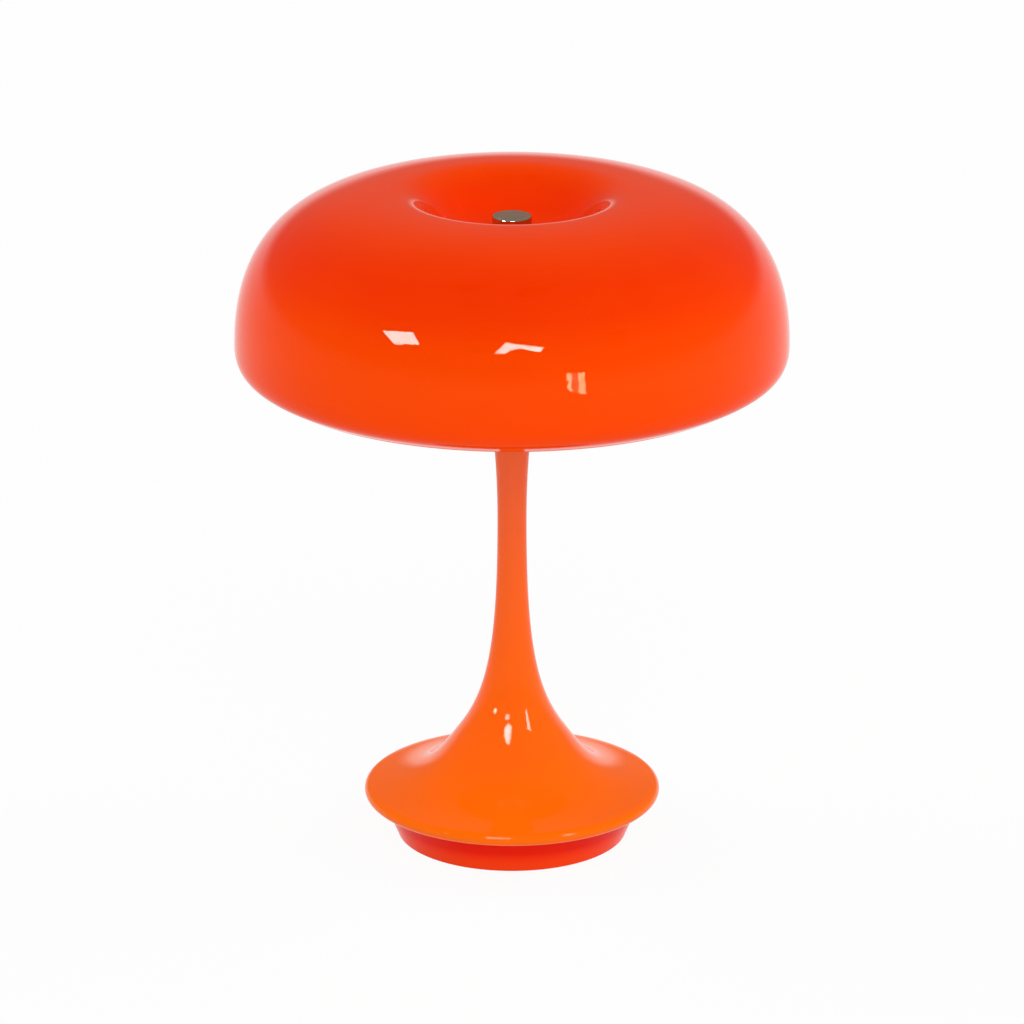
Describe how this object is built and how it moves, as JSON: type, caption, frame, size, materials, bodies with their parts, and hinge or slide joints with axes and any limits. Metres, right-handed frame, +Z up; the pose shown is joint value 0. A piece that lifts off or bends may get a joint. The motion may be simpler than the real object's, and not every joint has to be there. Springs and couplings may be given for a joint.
{
  "type": "mushroom table lamp",
  "caption": "Cordless mushroom table lamp: dished acrylic shade held by a turned knob on a trumpet stand with a battery drum and a rear charging socket.",
  "frame": {"origin": "centre of the foot ring's underside, on the surface that the lamp stands on", "axes": "+Z up along the lamp's turned axis; +Y to the back, where the charging socket is; +X to the right as seen from the front"},
  "size_m": [0.22, 0.22, 0.269],
  "materials": {
    "shade_acrylic": "high-gloss moulded acrylic, orange-red",
    "stand_lacquer": "gloss lacquer, orange",
    "drum_lacquer": "gloss moulded plastic, orange-red",
    "brushed_knob": "satin turned metal",
    "silicone": "matte silicone",
    "screw_steel": "plain machined steel",
    "zinced_steel": "bright zinc plate",
    "socket_steel": "plain stainless steel",
    "nickel": "plain nickel strip",
    "brass": "plain machined brass",
    "black_plastic": "matte moulded plastic",
    "white_plastic": "matte moulded nylon",
    "cell_wrap": "shrink-wrapped cell",
    "circuit_board": "solder-masked board",
    "white_board": "white-masked aluminium board",
    "led_phosphor": "phosphor-coated chip",
    "opal_acrylic": "opal acrylic",
    "clear_acrylic": "clear acrylic light pipe",
    "lead_jacket": "flexible lead jacket",
    "white_aluminium": "white powder coat"
  },
  "bodies": {
    "stand": {"ballast_plate": "zinced_steel", "base_drum": "drum_lacquer", "base_screws": "screw_steel", "battery_cells": "cell_wrap", "battery_tray": "black_plastic", "board_components": "black_plastic", "board_screws": "screw_steel", "cell_tabs": "nickel", "charge_board": "circuit_board", "charge_socket": "socket_steel", "diffuser": "opal_acrylic", "foot_ring": "silicone", "head_sink": "white_aluminium", "indicator_lens": "clear_acrylic", "led_board": "white_board", "led_board_screws": "screw_steel", "led_chips": "led_phosphor", "lower_nut": "zinced_steel", "lower_washer": "zinced_steel", "power_lead": "lead_jacket", "riser": "white_aluminium", "riser_cap": "white_plastic", "shade_gasket": "silicone", "shade_stud": "screw_steel", "stud_bush": "white_plastic", "stud_nut": "brass", "tie_tube": "zinced_steel", "touch_lead": "lead_jacket", "touch_terminal": "brass", "trumpet_stand": "stand_lacquer", "upper_nut": "zinced_steel"},
    "shade": {"shade": "shade_acrylic"},
    "washer": {"knob_washer": "white_plastic"},
    "knob": {"finial_knob": "brushed_knob"}
  },
  "joints": [
    {"name": "shade_lift", "type": "slide", "parent": "stand", "child": "shade", "axis": [0, 0, 1], "range_m": [0, 0.06]},
    {"name": "knob_rise", "type": "slide", "parent": "shade", "child": "washer", "axis": [0, 0, 1], "range_m": [0, 0.00701]},
    {"name": "knob_turn", "type": "hinge", "parent": "washer", "child": "knob", "pos_m": [0, 0, 0.2515], "axis": [0, 0, 1], "range_deg": [0, 2520]}
  ],
  "couplings": [
    {"joint": "knob_rise", "follows": "knob_turn", "m_per_rad": 0.00015915}
  ]
}
